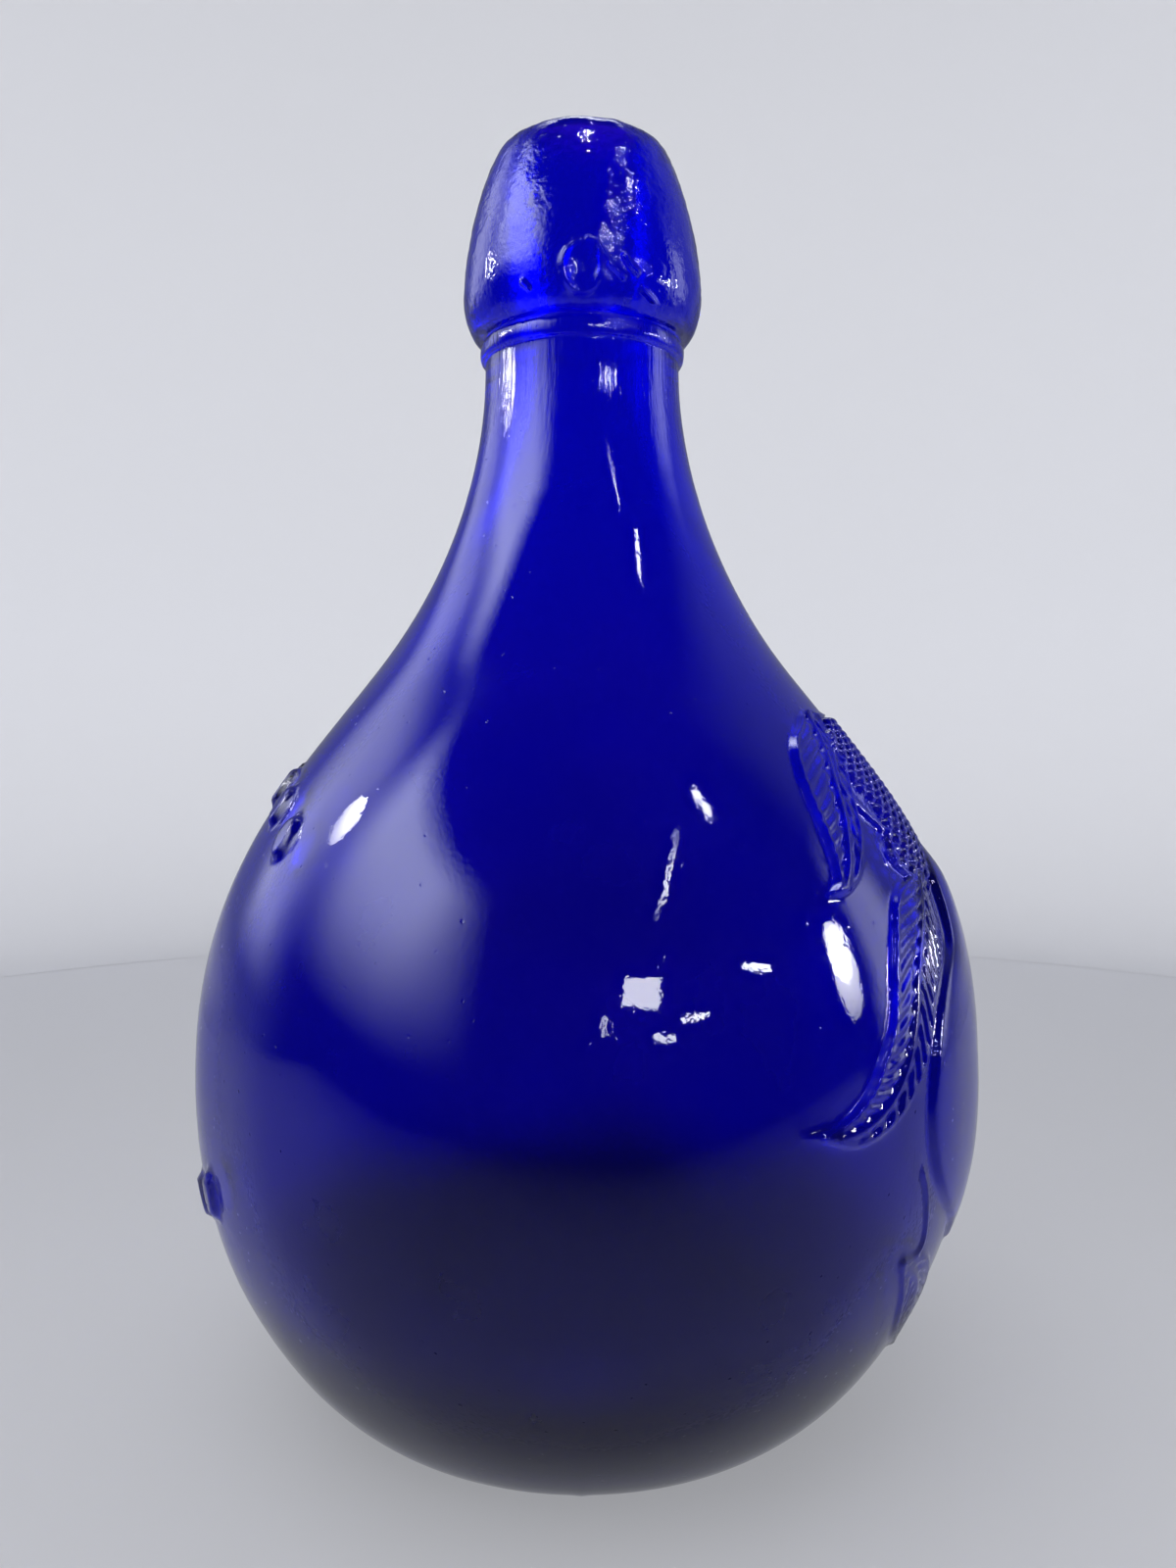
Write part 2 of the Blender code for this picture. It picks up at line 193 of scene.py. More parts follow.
def outsideOutline():
    bowl, crown, neck = bodyRuns(fineness["bodyStep"], fineness["neckStep"])
    band, under, brow = collarRuns(fineness["collarStep"])
    foot = straightRun(neck[-1], (body["neckRadius"], collar["seat"] - seatGap), fineness["collarStep"])
    return bowl + crown[1:] + neck[1:] + foot[1:] + band + under + brow[1:]


def insideOutline():
    step = fineness["insideStep"]
    bowl, crown, neck = bodyRuns(step, step)
    throat = body["neckRadius"] - body["boreRadius"]
    inside = insideRun(bowl, body["baseWall"], body["wall"])
    for _ in range(fineness["insideRounds"]):
        inside[1:-1] = [(a + b * 2 + c) / 4 for a, b, c in zip(inside, inside[1:], inside[2:])]
    inside += insideRun(crown, body["wall"], body["wall"])[1:]
    inside += insideRun(neck, body["wall"], throat)[1:]
    top = body["height"] - body["mouthRound"]
    inside += straightRun(inside[-1], (body["boreRadius"], top), step)[1:]
    for index in range(1, fineness["mouthSteps"] + 1):
        around = math.pi / 2 * index / fineness["mouthSteps"]
        inside.append(Vector((body["boreRadius"] + body["mouthRound"] * (1 - math.cos(around)),
                              top + body["mouthRound"] * math.sin(around))))
    return inside


def turnBottle():
    step = fineness["bodyStep"]
    outline = domeRun(0, step)[:-1] + straightRun((body["ringInner"], 0), (body["ringOuter"], 0), step)[:-1]
    outline += outsideOutline()
    inside = insideOutline()
    outline += straightRun(outline[-1], inside[-1], fineness["collarStep"])[1:-1]
    outline += list(reversed(inside))
    outline += list(reversed(domeRun(body["baseWall"], fineness["insideStep"])[:-1]))
    glass = bmesh.new()
    verts = [glass.verts.new((p[0], 0, p[1])) for p in outline]
    edges = [glass.edges.new(pair) for pair in zip(verts, verts[1:])]
    bmesh.ops.spin(glass, geom=verts + edges, cent=(0, 0, 0), axis=(0, 0, 1), angle=2 * math.pi,
                   steps=fineness["turnSteps"], use_merge=True)
    bmesh.ops.remove_doubles(glass, verts=glass.verts, dist=fineness["mergeGap"])
    bmesh.ops.recalc_face_normals(glass, faces=glass.faces)
    return glass


# A run of places as rows of radius and height that only go up
def risingLine(places):
    line = np.array([tuple(place) for place in places])
    return line[np.concatenate([[True], np.diff(line[:, 1]) > 1e-7])]


# The outside again, fine enough to read a radius, a slope and a distance along the glass from a height
readStep = fineness["readStep"]
outline = risingLine([place for run in bodyRuns(readStep, readStep) for place in run])
collarLine = risingLine([place for run in collarRuns(readStep)[1:] for place in run])
insideLine = risingLine(insideOutline())
slopeLine = np.gradient(outline[:, 0], outline[:, 1])
reachLine = np.concatenate([[0], np.cumsum(np.hypot(*np.diff(outline, axis=0).T))])


def radiusAt(height):
    return np.interp(height, outline[:, 1], outline[:, 0])


def onWall(angle, height):
    radius = radiusAt(height)
    return np.stack([radius * np.cos(angle), radius * np.sin(angle), height], axis=-1)


def wallNormal(angle, height):
    slope = np.interp(height, outline[:, 1], slopeLine)
    long = np.hypot(1, slope)
    return np.stack([np.cos(angle) / long, np.sin(angle) / long, -slope / long], axis=-1)


def smoothStep(low, high, value):
    share = np.clip((value - low) / (high - low), 0, 1)
    return share * share * (3 - 2 * share)


def ridge(distance, width):
    return np.exp(-(distance / width) ** 2)


# A table's value at a place from 0 to 1, on a smooth curve through its entries
def readTable(table, place):
    table = np.asarray(table, float)
    spot = np.clip(place, 0, 1) * (len(table) - 1)
    index = np.minimum(spot.astype(int), len(table) - 2)
    part = spot - index
    low, high = table[index], table[index + 1]
    before = np.where(index > 0, table[np.maximum(index - 1, 0)], 2 * low - high)
    after = np.where(index + 2 < len(table), table[np.minimum(index + 2, len(table) - 1)], 2 * high - low)
    return (low * (2 * part ** 3 - 3 * part ** 2 + 1)
            + (high - before) / 2 * (part ** 3 - 2 * part ** 2 + part)
            + high * (3 * part ** 2 - 2 * part ** 3)
            + (after - low) / 2 * (part ** 3 - part ** 2))


# Slow waves in every direction, from a fixed seed
waveCount = 9
waveSpread = (0.6, 1.5)


def waves(points, size, seed):
    draw = np.random.default_rng(seed)
    total = np.zeros(len(points))
    for _ in range(waveCount):
        way = draw.normal(size=3)
        way *= 2 * math.pi / size * draw.uniform(*waveSpread) / np.linalg.norm(way)
        total += np.sin(points @ way + draw.uniform(0, 2 * math.pi))
    return total / math.sqrt(waveCount)


# Where points lie beside a spine: share of its length, distance aside, distance past its ends, and length.
# A batch of points is done at a time to spare memory.
spineStops = 70
spineBatch = 20000


def besideSpine(points, spine):
    places = np.array(spine)
    stops = np.linspace(0, 1, spineStops)
    angle = np.radians(readTable(places[:, 0], stops))
    height = readTable(places[:, 1], stops)
    line = onWall(angle, height)
    run = np.gradient(line, axis=0)
    run /= np.linalg.norm(run, axis=1)[:, None]
    aside = np.cross(run, wallNormal(angle, height))
    reach = np.concatenate([[0], np.cumsum(np.linalg.norm(np.diff(line, axis=0), axis=1))])
    place, across, past = (np.zeros(len(points)) for _ in range(3))
    for first in range(0, len(points), spineBatch):
        some = slice(first, first + spineBatch)
        apart = points[some, None, :] - line[None]
        nearest = np.argmin((apart ** 2).sum(axis=2), axis=1)
        away = apart[np.arange(len(nearest)), nearest]
        travelled = reach[nearest] + (away * run[nearest]).sum(axis=1)
        across[some] = (away * aside[nearest]).sum(axis=1)
        past[some] = np.maximum(np.maximum(-travelled, travelled - reach[-1]), 0)
        place[some] = np.clip(travelled / reach[-1], 0, 1)
    return place, across, past, reach[-1]


# Leaves: spine as degrees from the fruit side and height, half widths on both sides of it
upperLeaf = {
    "spine": ((34.0, 0.1075), (36.5, 0.1041), (41.4, 0.0987), (45.7, 0.0922), (50.6, 0.0862), (54.9, 0.0846)),
    "farHalf": (0.0024, 0.0045, 0.0040, 0.0036, 0.0022, 0.0),
    "fruitHalf": (0.0024, 0.0065, 0.0070, 0.0055, 0.0027, 0.0),
    "veinPitch": 0.0034,
    "farLobes": 0.3,           # how much its far half bulges beside the other
    "share": 1.0,
}
longLeaf = {
    "spine": ((29.5, 0.0843), (39.7, 0.0748), (43.7, 0.0678), (47.1, 0.0622), (51.4, 0.0580), (57.4, 0.0558),
              (63.6, 0.0565)),
    "farHalf": (0.0022, 0.0066, 0.0055, 0.0048, 0.0034, 0.0021, 0.0),
    "fruitHalf": (0.0022, 0.0066, 0.0059, 0.0050, 0.0048, 0.0028, 0.0),
    "veinPitch": 0.0030,
    "farLobes": 1.0,
    "share": 1.0,
}
lowLeaf = {
    "spine": ((45.0, 0.0352), (38.7, 0.0300), (35.1, 0.0236), (31.5, 0.0156)),
    "farHalf": (0.0008, 0.0040, 0.0040, 0.0),
    "fruitHalf": (0.0008, 0.0044, 0.0042, 0.0),
    "veinPitch": 0.0026,
    "farLobes": 1.0,
    "share": 0.55,             # how proud it stands beside the others
}
leafRise = {
    "proud": 0.0006,
    "edgeRun": 0.00065,
    "bladeRun": (0.0001, 0.0008),
    "skirt": 0.001,            # how far out from its edge a leaf still lifts the glass
    "marginIn": 0.00060,
    "marginWidth": 0.00036,
    "marginProud": 0.00026,
    "ribWidth": 0.00055,
    "ribProud": 0.00036,
    "furrowOut": 0.00120,
    "furrowWidth": 0.00035,
    "furrowSink": 0.00015,
    "lobeProud": 0.00040,      # the blade bulges between its veins
    "lobeFade": (0.0003, 0.0015),
    "veinLean": 1.50,          # how far a vein runs towards the tip for each step aside
}

# The pear-shaped fruit beside the leaves, one on each side of the fruit face
pear = {
    "spine": ((9.9, 0.088), (15.3, 0.0724), (21.2, 0.056), (22.5, 0.0336)),
    "halfWidth": 0.0215,
    "halfShares": (0.16, 0.40, 0.47, 0.55, 0.74, 0.93, 1.00, 0.90, 0.62, 0.18),
    "proud": 0.0022,
    "crownShares": (0.55, 1.00, 1.00, 0.85, 0.70, 0.62, 0.62, 0.60, 0.52, 0.40),
    "stepShare": 0.40,         # how much of the height is taken by the steep edge
    "stepRun": 0.0020,
    "roundRun": 0.0080,
    "fineBeside": 0.0006,      # the steep edge is cut finest this far to both sides
}

# The beaded berry in the middle of the fruit face
berry = {
    "height": 0.0964,
    "halfWidth": 0.0300,
    "halfHeight": 0.0145,
    "widthShares": (0.80, 0.98, 0.98, 0.88, 0.92, 1.00, 0.98, 0.80, 0.66),     # from its foot to its top
    "columnPitch": 0.00212,
    "beadPitch": 0.00244,
    "beadRadius": 0.00121,
    "beadProud": 0.00115,
    "rimWidth": 0.00035,
    "rimProud": 0.00045,
    "rimOut": 0.0009,
}

# Plain raised ovals in two arcs on the side away from the fruit
ovals = {
    "count": 7,
    "pitch": 0.0112,
    "halfWidth": 0.0026,
    "halfHeight": 0.0039,
    "proud": 0.0011,
    "edgeRun": 0.0009,
    "skirt": 0.0002,
    "arcs": ((0.0910, 0.0070), (0.0400, -0.0070)),     # height of both ends, and rise to the middle
}


def leafRelief(points, leaf):
    rise = leafRise
    place, across, past, length = besideSpine(points, leaf["spine"])
    half = np.where(across > 0, readTable(leaf["farHalf"], place), readTable(leaf["fruitHalf"], place))
    aside = np.abs(across)
    inside = half - aside - past
    plate = rise["proud"] * smoothStep(-rise["edgeRun"], rise["edgeRun"], inside)
    within = smoothStep(*rise["bladeRun"], inside)
    margin = rise["marginProud"] * ridge(inside - rise["marginIn"], rise["marginWidth"])
    rib = rise["ribProud"] * ridge(aside, rise["ribWidth"]) * within
    furrow = rise["furrowSink"] * ridge(aside - rise["furrowOut"], rise["furrowWidth"]) * within
    spot = (place * length - aside * rise["veinLean"]) / leaf["veinPitch"]
    lobe = rise["lobeProud"] * (np.abs(np.cos(math.pi * spot)) - 0.5) * smoothStep(*rise["lobeFade"], inside)
    lobe *= smoothStep(rise["ribWidth"], 2 * rise["ribWidth"], aside)
    lobe *= np.where(across > 0, leaf["farLobes"], 1)
    lift = plate + margin + rib - furrow + lobe
    return np.where(inside > -rise["skirt"], lift, 0) * leaf["share"], inside


def pearRelief(points):
    place, across, past, _ = besideSpine(points, pear["spine"])
    inside = pear["halfWidth"] * readTable(pear["halfShares"], place) - np.abs(across) - past
    crown = pear["proud"] * readTable(pear["crownShares"], place)
    step = smoothStep(-pear["stepRun"] / 2, pear["stepRun"] / 2, inside)
    rounded = np.clip(inside / pear["roundRun"], 0, 1)
    rounded = np.sqrt(1 - (1 - rounded) ** 2)
    return crown * (pear["stepShare"] * step + (1 - pear["stepShare"]) * rounded), inside


def berryRelief(points, angle):
    middle = np.interp(berry["height"], outline[:, 1], reachLine)
    radius = radiusAt(berry["height"])
    aside = angle * radius
    up = np.interp(points[:, 2], outline[:, 1], reachLine) - middle

    def insideBerry(x, y):
        wide = berry["halfWidth"] * readTable(berry["widthShares"], (y / berry["halfHeight"] + 1) / 2)
        return np.minimum(wide - np.abs(x), berry["halfHeight"] - np.abs(y))

    nearest = np.full(len(points), np.inf)
    for offset in (-1, 0, 1):
        column = np.round(aside / berry["columnPitch"]) + offset
        shift = (column % 2) / 2
        row = np.round(up / berry["beadPitch"] - shift) + shift
        x, y = column * berry["columnPitch"], row * berry["beadPitch"]
        apart = np.hypot(aside - x, up - y)
        nearest = np.minimum(nearest, np.where(insideBerry(x, y) > 0, apart, np.inf))
    dome = np.sqrt(np.clip(1 - (nearest / berry["beadRadius"]) ** 2, 0, 1))
    inside = insideBerry(aside, up)
    rim = berry["rimProud"] * ridge(inside + berry["rimOut"], berry["rimWidth"])
    return berry["beadProud"] * dome + rim, inside


def ovalRelief(points, angle):
    total = np.zeros(len(points))
    inside = np.full(len(points), -1.0)
    reach = np.interp(points[:, 2], outline[:, 1], reachLine)
    for ends, lift in ovals["arcs"]:
        for index in range(ovals["count"]):
            place = 2 * index / (ovals["count"] - 1) - 1
            height = ends + lift * (1 - place ** 2)
            radius = radiusAt(height)
            offset = (index - (ovals["count"] - 1) / 2) * ovals["pitch"] / radius
            turned = (angle - math.pi - offset + math.pi) % (2 * math.pi) - math.pi
            x = turned * radius / ovals["halfWidth"]
            y = (reach - np.interp(height, outline[:, 1], reachLine)) / ovals["halfHeight"]
            apart = (1 - np.hypot(x, y)) * ovals["halfWidth"]
            inside = np.maximum(inside, apart)
            total = np.maximum(total, ovals["proud"] * smoothStep(-ovals["skirt"], ovals["edgeRun"], apart))
    return total, inside


# Stems: one that the fruit and the leaves hang from, down the side of the berry, and one under the pear
upperStem = {
    "spine": ((29.6, 0.1052), (33.4, 0.1035), (39.8, 0.0985), (37.6, 0.0952), (33.2, 0.0915),
              (34.6, 0.0874), (31.0, 0.0850), (26.2, 0.0838)),
    "half": 0.00075,
    "proud": 0.00080,
}
lowerStem = {
    "spine": ((42.8, 0.0470), (41.5, 0.0442), (39.8, 0.0372), (41.0, 0.0350), (44.5, 0.0346)),
    "half": 0.00060,
    "proud": 0.00040,
}


def stemRelief(points, stem):
    _, across, past, _ = besideSpine(points, stem["spine"])
    apart = np.hypot(across, past)
    return stem["proud"] * np.sqrt(np.clip(1 - (apart / stem["half"]) ** 2, 0, 1)), stem["half"] - apart


# How far the forms raise points on the wall, and how far inside a form that wants one, two or three cuts
# each point lies
def moulded(points):
    angle = np.arctan2(points[:, 1], points[:, 0])
    folded = np.stack([points[:, 0], np.abs(points[:, 1]), points[:, 2]], axis=-1)
    pearHeight, inPear = pearRelief(folded)
    forms = [(*leafRelief(folded, leaf), 3) for leaf in (upperLeaf, longLeaf, lowLeaf)]
    forms += [(*stemRelief(folded, stem), 3) for stem in (upperStem, lowerStem)]
    forms += [(*berryRelief(points, angle), 3), (*ovalRelief(points, angle), 2)]
    forms += [(pearHeight, inPear, 1), (pearHeight, pear["fineBeside"] - np.abs(inPear), 3)]
    proud = np.zeros(len(points))
    cuts = np.full((3, len(points)), -1.0)
    for height, inside, wanted in forms:
        proud = np.maximum(proud, height)
        cuts[:wanted] = np.maximum(cuts[:wanted], inside)
    return proud, cuts


# Bail dimples, one on each side of the collar, and the tool marks round them
dimple = {
    "height": 0.1752,
    "halfWidth": 0.0026,
    "halfHeight": 0.0031,
    "depth": 0.0005,
    "hollow": (1.0, 0.25),     # sinks from its edge to this share of its size
    "rimProud": 0.0004,
    "rimWidth": 0.00045,
    "rimOut": 0.0003,
    "rimWobble": 0.35,
    "rimLobes": 3,
    "fineBeside": 0.001,
    # in millimetres from the dimple
    "marks": (((0.9, 4.0), (2.2, 3.4), (3.3, 1.6), (4.4, 0.1), (6.4, -1.2)),
              ((6.6, 1.6), (7.6, 0.3), (8.6, -0.4)),
              ((-9.5, -1.6), (-8.6, -2.4)),
              ((9.8, -2.6), (11.6, -3.4), (13.0, -4.2))),
    "markProud": 0.00070,
    "markWidth": 0.00040,
    "markFineBeside": 0.0006,
}


def offSegment(x, y, start, end):
    dx, dy = end[0] - start[0], end[1] - start[1]
    share = np.clip(((x - start[0]) * dx + (y - start[1]) * dy) / (dx * dx + dy * dy), 0, 1)
    return np.hypot(x - start[0] - share * dx, y - start[1] - share * dy)


def tooled(points):
    proud = np.zeros(len(points))
    near = np.full(len(points), -1.0)
    angle = np.arctan2(points[:, 1], points[:, 0])
    for side in (-1, 1):
        turned = (angle - side * math.pi / 2) * -side
        x = np.where(np.abs(turned) < math.pi / 2, turned * collar["radius"], np.inf)
        y = points[:, 2] - dimple["height"]
        out = np.hypot(x / dimple["halfWidth"], y / dimple["halfHeight"])
        apart = (out - 1) * dimple["halfWidth"]
        proud -= dimple["depth"] * smoothStep(*dimple["hollow"], out)
        wobble = 1 + dimple["rimWobble"] * np.sin(dimple["rimLobes"] * np.arctan2(y, x) + 1)
        proud += dimple["rimProud"] * wobble * ridge(apart - dimple["rimOut"], dimple["rimWidth"])
        away = np.full(len(points), np.inf)
        for mark in dimple["marks"]:
            for start, end in zip(mark, mark[1:]):
                away = np.minimum(away, offSegment(x * 1000, y * 1000, start, end) / 1000)
        proud += dimple["markProud"] * ridge(away, dimple["markWidth"])
        near = np.maximum(near, np.maximum(dimple["fineBeside"] - apart, dimple["markFineBeside"] - away))
    return proud, near


def isOutside(points):
    radius = np.hypot(points[:, 0], points[:, 1])
    height = points[:, 2]
    outer = np.where(height < collar["seat"], radiusAt(height),
                     np.interp(height, collarLine[:, 1], collarLine[:, 0]))
    inner = np.interp(height, insideLine[:, 1], insideLine[:, 0])
    return radius > (outer + inner) / 2


# Where along its height the outside is worked on
zones = {
    "foot": 0.010,             # nothing is raised below this
    "mouldedTop": 0.112,
    "turnedTop": 0.150,
    "cutTop": 0.1985,
    "collarCut": 0.003,        # above the collar's seat
    "collarTurned": 0.005,
    "lipClear": 0.003,         # below the mouth
    "collarLevels": 2,         # how many of the passes cut the collar
}


# Cuts the outside finer near the moulded forms and the dimples, in three passes
def cutFiner(glass):
    for level, margin in enumerate(fineness["levelMargins"]):
        faces = list(glass.faces)
        centres = np.array([face.calc_center_median() for face in faces])
        height = centres[:, 2]
        outside = isOutside(centres) & (height > zones["foot"]) & (height < zones["cutTop"])
        wanted = np.zeros(len(faces), bool)
        onBody = outside & (height < zones["mouldedTop"])
        wanted[onBody] = moulded(centres[onBody])[1][level] > -margin
        onCollar = outside & (height > collar["seat"] + zones["collarCut"])
        if level < zones["collarLevels"]:
            wanted[onCollar] = tooled(centres[onCollar])[1] > -margin / 3
        edges = dict.fromkeys(edge for face, take in zip(faces, wanted) if take for edge in face.edges)
        bmesh.ops.subdivide_edges(glass, edges=list(edges), cuts=1, use_grid_fill=True)
    return glass


# How far the glass strays from its true shape, and over what distance
unevenness = {
    "seeds": {"outside": 3, "inside": 5, "collar": 8, "hammer": 11},
    "calm": (0.004, 0.020),         # smooth below the first height, uneven above the second
    "outside": 0.00008,
    "outsideSize": 0.022,
    "inside": 0.00018,
    "insideSize": 0.020,
    "collar": 0.00005,
    "collarSize": 0.0070,
    "hammer": 0.00004,
    "hammerSize": 0.0028,
    "collarFade": (-0.002, 0.004),  # from the collar's seat
    "mouldLine": 0.144,
    "mouldLineProud": 0.00006,
    "mouldLineWidth": 0.0005,
    "seamProud": 0.00010,
    "seamWidth": 0.00035,
    "seamTop": (0.16, 0.13),
    "widestSink": 0.0001,           # at its widest the body stays inside the CAD box
    "widestRun": 0.0006,
}


# Puts the cut faces back on the turned surface and raises or sinks them
def shapeGlass(mesh):
    count = len(mesh.vertices)
    points = np.zeros(count * 3)
    mesh.vertices.foreach_get("co", points)
    points = points.reshape(count, 3)
    outside = isOutside(points)
    height = points[:, 2]
    onBody = outside & (height > zones["foot"]) & (height < zones["turnedTop"])
    radius = np.maximum(np.hypot(points[:, 0], points[:, 1]), 1e-9)
    points[onBody, :2] *= (radiusAt(height) / radius)[onBody, None]
    onCollar = outside & (height > collar["seat"] + zones["collarTurned"])
    onCollar &= height < body["height"] - zones["lipClear"]
    collarRadius = np.interp(height, collarLine[:, 1], collarLine[:, 0])
    points[onCollar, :2] *= (collarRadius / radius)[onCollar, None]
    mesh.vertices.foreach_set("co", points.ravel())
    mesh.update()
    inside = mesh.attributes.new("inside", "FLOAT", "POINT")
    inside.data.foreach_set("value", np.where(outside, 0.0, 1.0))
    normals = np.zeros(count * 3)
    mesh.vertex_normals.foreach_get("vector", normals)
    normals = normals.reshape(count, 3)
    lift = np.zeros(count)
    relief = outside & (height > zones["foot"]) & (height < zones["mouldedTop"])
    lift[relief] = moulded(points[relief])[0]
    lift[onCollar] = tooled(points[onCollar])[0]
    stray, seeds = unevenness, unevenness["seeds"]
    uneven = smoothStep(*stray["calm"], height)
    hollows = -stray["outside"] * (1 + waves(points, stray["outsideSize"], seeds["outside"]))
    swells = stray["inside"] * waves(points, stray["insideSize"], seeds["inside"])
    lift += np.where(outside, hollows, swells) * uneven
    lumps = -stray["collar"] * (1 + waves(points, stray["collarSize"], seeds["collar"]))
    lumps -= stray["hammer"] * (1 + waves(points, stray["hammerSize"], seeds["hammer"]))
    fadeStart, fadeEnd = (collar["seat"] + offset for offset in stray["collarFade"])
    lift += np.where(outside, lumps * smoothStep(fadeStart, fadeEnd, height), 0)
    inFromWidest = body["radius"] - np.hypot(points[:, 0], points[:, 1])
    clear = smoothStep(0.0, stray["widestRun"], inFromWidest)
    line = stray["mouldLineProud"] * ridge(height - stray["mouldLine"], stray["mouldLineWidth"])
    angle = np.arctan2(points[:, 1], points[:, 0])
    seam = ridge(np.abs(np.cos(angle)) * radius, stray["seamWidth"]) * smoothStep(*stray["seamTop"], height)
    lift += np.where(outside, line - stray["widestSink"] * (1 - clear) + stray["seamProud"] * seam * clear, 0)
    points += normals * lift[:, None]
    points[:, 2] = np.clip(points[:, 2], 0.0, body["height"])
    mesh.vertices.foreach_set("co", points.ravel())
    mesh.update()


def setInput(node, name, value):
    node.inputs[name].default_value = value


def mathNode(tree, operation, *inputs):
    node = tree.nodes.new("ShaderNodeMath")
    node.operation = operation
    for index, value in enumerate(inputs):
        if isinstance(value, (int, float)):
            node.inputs[index].default_value = value
        else:
            tree.links.new(value, node.inputs[index])
    return node.outputs[0]


def straightRamp(tree, value, ends, levels=(0.0, 1.0), kind="LINEAR"):
    ramp = tree.nodes.new("ShaderNodeMapRange")
    ramp.interpolation_type = kind
    for name, number in zip(("From Min", "From Max", "To Min", "To Max"), (*ends, *levels)):
        setInput(ramp, name, number)
    tree.links.new(value, ramp.inputs["Value"])
    return ramp.outputs["Result"]


def easedRamp(tree, value, ends, levels=(0.0, 1.0)):
    return straightRamp(tree, value, ends, levels, "SMOOTHSTEP")


# The place on the piece, as one socket, and its three coordinates
def placeOn(tree):
    texture = tree.nodes.new("ShaderNodeTexCoord")
    place = texture.outputs["Object"]
    apart = tree.nodes.new("ShaderNodeSeparateXYZ")
    tree.links.new(place, apart.inputs["Vector"])
    return place, [apart.outputs[axis] for axis in "XYZ"]


def noise(tree, place, scale, detail):
    cloud = tree.nodes.new("ShaderNodeTexNoise")
    setInput(cloud, "Scale", scale)
    setInput(cloud, "Detail", detail)
    tree.links.new(place, cloud.inputs["Vector"])
    return cloud.outputs["Fac"]


# Lays one more set of bumps over those below it
def addBumps(tree, height, depth, below=None, strength=1.0):
    bump = tree.nodes.new("ShaderNodeBump")
    setInput(bump, "Distance", depth)
    tree.links.new(height, bump.inputs["Height"])
    if isinstance(strength, float):
        setInput(bump, "Strength", strength)
    else:
        tree.links.new(strength, bump.inputs["Strength"])
    if below is not None:
        tree.links.new(below, bump.inputs["Normal"])
    return bump.outputs["Normal"]


# Cobalt glass, with the blue in its thickness. Its surface lets less light through lower down than in the
# neck: painted shade for the bottle's shadow seen through the body, and at the base partly the thick glass
# and partly painted shade.
glassLook = {
    "ior": 1.52,
    "density": 900.0,
    "tint": (0.32, 0.0, 0.990, 1),
    "paintedShadeShares": (0.65, 0.83),     # painted shade: how much light the surface lets through in the body and in the neck
    "paintedShadeHeights": (0.075, 0.160),
    "baseShadeShare": 0.10,              # of that, what is left at the base: partly the thick glass, partly painted shade
    "baseShadeHeights": (0.013, 0.030),
    "wearScale": 60.0,
    "wearRange": (0.35, 0.75),
    "polish": (0.012, 0.050),       # how rough it is where least and most worn
    "satin": 0.26,                  # how much rougher the inside is
    "hammerScale": 900.0,
    "hammerDepth": 0.00010,
    "hammerHeights": (0.166, 0.172),
    "brushScale": (1400.0, 1400.0, 50.0),
    "brushDepth": 0.00010,
    "brushHeights": (0.140, 0.164),
    "rippleScale": 120.0,
    "rippleDepth": 0.00006,
    "rippleStrength": 0.5,
    "pitScale": 330.0,
    "pitReach": 0.10,               # share of a cell
    "pitDepth": 0.00004,
    "gritScale": 1500.0,            # fine wear that frays what the glass mirrors
    "gritDepth": 0.000008,
}


